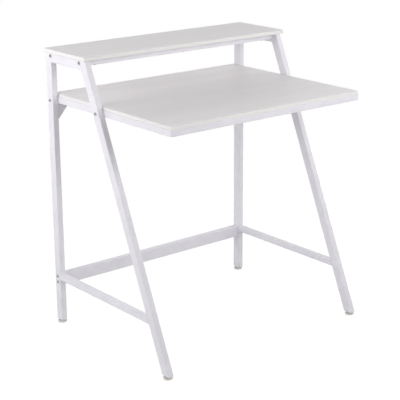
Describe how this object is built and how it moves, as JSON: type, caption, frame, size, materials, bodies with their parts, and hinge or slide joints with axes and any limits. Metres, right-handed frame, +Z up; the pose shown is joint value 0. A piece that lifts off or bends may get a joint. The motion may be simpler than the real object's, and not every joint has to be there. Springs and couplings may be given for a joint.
{
  "type": "ladder desk",
  "caption": "Ladder-style writing desk: leaning tube side frames carry a narrow top shelf and a work surface, tied by a low rear bar, on levelling feet.",
  "frame": {"origin": "on the floor, below the middle of the whole desk", "axes": "+X to the right of someone sitting at the desk, +Y to the rear, +Z up"},
  "size_m": [0.808, 0.606, 0.915],
  "materials": {
    "powder_coat": "satin white powder coat on steel tube",
    "laminate": "matt white melamine laminate on fibreboard",
    "edge_band": "satin white plastic edge band",
    "nylon": "moulded natural nylon",
    "zinc_steel": "zinc plated steel"
  },
  "bodies": {
    "frame": {"crossbar_bolts": "zinc_steel", "crossbar_end_plates": "zinc_steel", "desk_board": "laminate", "desk_bolts": "zinc_steel", "desk_edge_band": "edge_band", "desk_front_rail": "powder_coat", "desk_left_rail": "powder_coat", "desk_rear_rail": "powder_coat", "desk_right_rail": "powder_coat", "desk_screws": "zinc_steel", "desk_weld_nuts": "zinc_steel", "left_front_leg": "powder_coat", "left_front_nut_plate": "zinc_steel", "left_gusset": "powder_coat", "left_rear_leg": "powder_coat", "left_rear_nut_plate": "zinc_steel", "left_stretcher": "powder_coat", "left_top_rail": "powder_coat", "rear_crossbar": "powder_coat", "right_front_leg": "powder_coat", "right_front_nut_plate": "zinc_steel", "right_gusset": "powder_coat", "right_rear_leg": "powder_coat", "right_rear_nut_plate": "zinc_steel", "right_stretcher": "powder_coat", "right_top_rail": "powder_coat", "shelf_board": "laminate", "shelf_bolts": "zinc_steel", "shelf_edge_band": "edge_band", "shelf_front_rail": "powder_coat", "shelf_rail_end_plates": "zinc_steel", "shelf_rear_rail": "powder_coat", "shelf_screws": "zinc_steel"},
    "left_front_foot": {"left_front_foot_pad": "nylon", "left_front_foot_stud": "zinc_steel"},
    "right_front_foot": {"right_front_foot_pad": "nylon", "right_front_foot_stud": "zinc_steel"},
    "left_rear_foot": {"left_rear_foot_pad": "nylon", "left_rear_foot_stud": "zinc_steel"},
    "right_rear_foot": {"right_rear_foot_pad": "nylon", "right_rear_foot_stud": "zinc_steel"}
  },
  "joints": [
    {"name": "left_front_foot_screw", "type": "slide", "parent": "frame", "child": "left_front_foot", "axis": [0, 0, -1], "range_m": [0, 0.01]},
    {"name": "right_front_foot_screw", "type": "slide", "parent": "frame", "child": "right_front_foot", "axis": [0, 0, -1], "range_m": [0, 0.01]},
    {"name": "left_rear_foot_screw", "type": "slide", "parent": "frame", "child": "left_rear_foot", "axis": [0, 0, -1], "range_m": [0, 0.01]},
    {"name": "right_rear_foot_screw", "type": "slide", "parent": "frame", "child": "right_rear_foot", "axis": [0, 0, -1], "range_m": [0, 0.01]}
  ]
}
